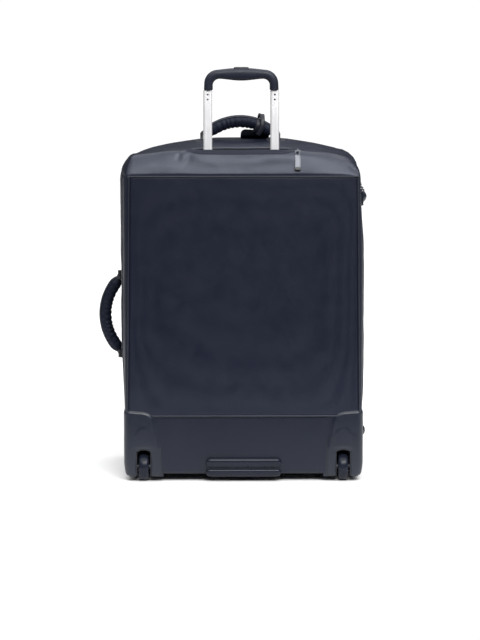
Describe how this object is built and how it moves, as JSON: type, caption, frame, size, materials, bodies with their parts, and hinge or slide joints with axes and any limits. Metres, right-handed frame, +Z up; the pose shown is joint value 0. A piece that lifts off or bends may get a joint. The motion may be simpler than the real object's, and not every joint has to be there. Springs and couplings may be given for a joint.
{
  "type": "softside upright suitcase",
  "caption": "Softside upright suitcase with telescoping trolley handle, corner wheels, padded carry handles, zipped side-hinged front lid and moulded corner guards.",
  "frame": {"origin": "middle of the object's footprint at floor level, below the centre of its bounding box", "axes": "+Z up, +Y from the wheel and trolley side towards the zipped front, +X to the right seen from the trolley side; the trolley handle is drawn partly up"},
  "size_m": [0.5045, 0.2856, 0.7812],
  "materials": {
    "nylon": "tightly woven dark navy nylon with a soft sheen",
    "coated_cover": "smooth coated dark navy fabric",
    "handle_fabric": "padded dark navy fabric",
    "piping": "dark navy corded piping",
    "webbing": "woven black webbing",
    "lining": "light grey lining cloth",
    "zip_tape": "dark coil zip on woven tape",
    "board": "grey honeycomb board",
    "tray_plastic": "black moulded plastic",
    "guard_plastic": "dark navy moulded plastic, satin",
    "gloss_plastic": "dark polished plastic",
    "grip_plastic": "dark navy soft-touch plastic",
    "black_plastic": "black nylon plastic",
    "bright_aluminium": "bright anodised aluminium",
    "steel": "zinc-plated steel",
    "zip_metal": "satin nickel-plated metal",
    "tyre_rubber": "black polyurethane",
    "hub_plastic": "dark grey moulded plastic",
    "tag_leather": "dark navy coated leather"
  },
  "bodies": {
    "case": {"back_panel": "nylon", "base_cover": "coated_cover", "side_panel_left": "nylon", "side_panel_right": "nylon", "top_panel": "nylon", "back_piping": "piping", "back_board": "board", "base_tray": "tray_plastic", "frame_hoop": "steel", "back_lining": "lining", "packing_straps": "webbing", "main_zip_case_half": "zip_tape", "trolley_zip_tape": "zip_tape", "corner_guard_left": "guard_plastic", "corner_guard_right": "guard_plastic", "wheel_axles": "steel", "skid_bumper": "guard_plastic", "front_feet": "black_plastic", "side_feet": "gloss_plastic", "base_screws": "steel", "rivets": "steel", "outer_tubes": "bright_aluminium", "tube_bracket": "black_plastic", "tube_bezel": "black_plastic", "pocket_liner": "lining", "top_handle_anchors": "black_plastic", "side_handle_anchors": "black_plastic"},
    "trolley_middle_stage": {"middle_tubes": "bright_aluminium", "middle_collars": "black_plastic"},
    "trolley_upper_stage": {"inner_tubes": "bright_aluminium", "tube_plugs": "black_plastic", "grip_rear_shell": "grip_plastic", "grip_front_shell": "grip_plastic", "grip_rivets": "steel", "button_springs": "steel"},
    "release_button": {"release_button": "grip_plastic", "push_rods": "steel"},
    "lock_pins": {"lock_pins": "steel"},
    "wheel_left": {"wheel_tyre_left": "tyre_rubber", "wheel_hub_left": "hub_plastic", "wheel_bearings_left": "steel"},
    "wheel_right": {"wheel_tyre_right": "tyre_rubber", "wheel_hub_right": "hub_plastic", "wheel_bearings_right": "steel"},
    "top_handle": {"top_handle_pad": "handle_fabric"},
    "side_handle": {"side_handle_pad": "handle_fabric"},
    "luggage_tag": {"tag_strap": "webbing", "tag_body": "tag_leather"},
    "trolley_zip_slider": {"trolley_zip_slider": "zip_metal"},
    "trolley_zip_pull": {"trolley_zip_pull": "zip_metal"},
    "lid": {"lid_panel": "nylon", "main_zip_lid_half": "zip_tape", "front_pocket": "nylon", "pocket_zip_tape": "zip_tape"},
    "pocket_zip_slider": {"pocket_zip_slider": "zip_metal"},
    "pocket_zip_pull": {"pocket_zip_pull": "zip_metal"},
    "main_zip_slider_a": {"main_zip_slider_a": "zip_metal"},
    "main_zip_pull_a": {"main_zip_pull_a": "zip_metal"},
    "main_zip_slider_b": {"main_zip_slider_b": "zip_metal"},
    "main_zip_pull_b": {"main_zip_pull_b": "zip_metal"}
  },
  "joints": [
    {"name": "trolley_middle_slide", "type": "slide", "parent": "case", "child": "trolley_middle_stage", "axis": [0, 0, 1], "range_m": [0, 0.21]},
    {"name": "trolley_upper_slide", "type": "slide", "parent": "trolley_middle_stage", "child": "trolley_upper_stage", "axis": [0, 0, 1], "range_m": [-0.157, 0.048]},
    {"name": "release_button_press", "type": "slide", "parent": "trolley_upper_stage", "child": "release_button", "axis": [0, 0, -1], "range_m": [0, 0.0035], "stiffness_N_per_m": 1500, "springref_m": -0.003, "deforming": ["button_springs"]},
    {"name": "lock_pin_retract", "type": "slide", "parent": "trolley_upper_stage", "child": "lock_pins", "axis": [0, 1, 0], "range_m": [0, 0.0025]},
    {"name": "wheel_left_spin", "type": "hinge", "parent": "case", "child": "wheel_left", "pos_m": [-0.16778, -0.11682, 0.026], "axis": [1, 0, 0], "continuous": true},
    {"name": "wheel_right_spin", "type": "hinge", "parent": "case", "child": "wheel_right", "pos_m": [0.20822, -0.11682, 0.026], "axis": [1, 0, 0], "continuous": true},
    {"name": "top_handle_swing", "type": "hinge", "parent": "case", "child": "top_handle", "pos_m": [0.01523, -0.00282, 0.6465], "axis": [1, 0, 0], "range_deg": [0, 40], "stiffness_Nm_per_rad": 0.35},
    {"name": "side_handle_swing", "type": "hinge", "parent": "case", "child": "side_handle", "pos_m": [-0.21277, -0.01282, 0.302], "axis": [0, 0, 1], "range_deg": [-50, 50], "stiffness_Nm_per_rad": 0.35},
    {"name": "tag_swing", "type": "hinge", "parent": "top_handle", "child": "luggage_tag", "pos_m": [0.04822, -0.00282, 0.66046], "axis": [0.9545, 0, -0.2982], "range_deg": [0, 75]},
    {"name": "trolley_zip_slide", "type": "slide", "parent": "case", "child": "trolley_zip_slider", "axis": [-1, 0, 0], "range_m": [0, 0.02]},
    {"name": "trolley_zip_pull_swing", "type": "hinge", "parent": "trolley_zip_slider", "child": "trolley_zip_pull", "pos_m": [0.12122, -0.1155, 0.62392], "axis": [-1, 0, 0], "range_deg": [0, 110]},
    {"name": "lid_open", "type": "hinge", "parent": "case", "child": "lid", "pos_m": [0.24723, 0.08417, 0.3], "axis": [0, 0, -1], "range_deg": [0, 175]},
    {"name": "main_zip_slide_a", "type": "slide", "parent": "case", "child": "main_zip_slider_a", "axis": [0, 0, 1], "range_m": [0, 0.06]},
    {"name": "main_zip_pull_a_swing", "type": "hinge", "parent": "main_zip_slider_a", "child": "main_zip_pull_a", "pos_m": [-0.20658, 0.08417, 0.5], "axis": [0, 1, 0], "range_deg": [0, 110]},
    {"name": "main_zip_slide_b", "type": "slide", "parent": "case", "child": "main_zip_slider_b", "axis": [0, 0, -1], "range_m": [0, 0.38]},
    {"name": "main_zip_pull_b_swing", "type": "hinge", "parent": "main_zip_slider_b", "child": "main_zip_pull_b", "pos_m": [-0.20658, 0.08417, 0.446], "axis": [0, 1, 0], "range_deg": [0, 110]},
    {"name": "pocket_zip_slide", "type": "slide", "parent": "lid", "child": "pocket_zip_slider", "axis": [-1, 0, 0], "range_m": [0, 0.31]},
    {"name": "pocket_zip_pull_swing", "type": "hinge", "parent": "pocket_zip_slider", "child": "pocket_zip_pull", "pos_m": [0.17822, 0.13992, 0.47], "axis": [1, 0, 0], "range_deg": [0, 110]}
  ],
  "couplings": [
    {"joint": "lock_pin_retract", "follows": "release_button_press", "ratio": 0.71429}
  ]
}
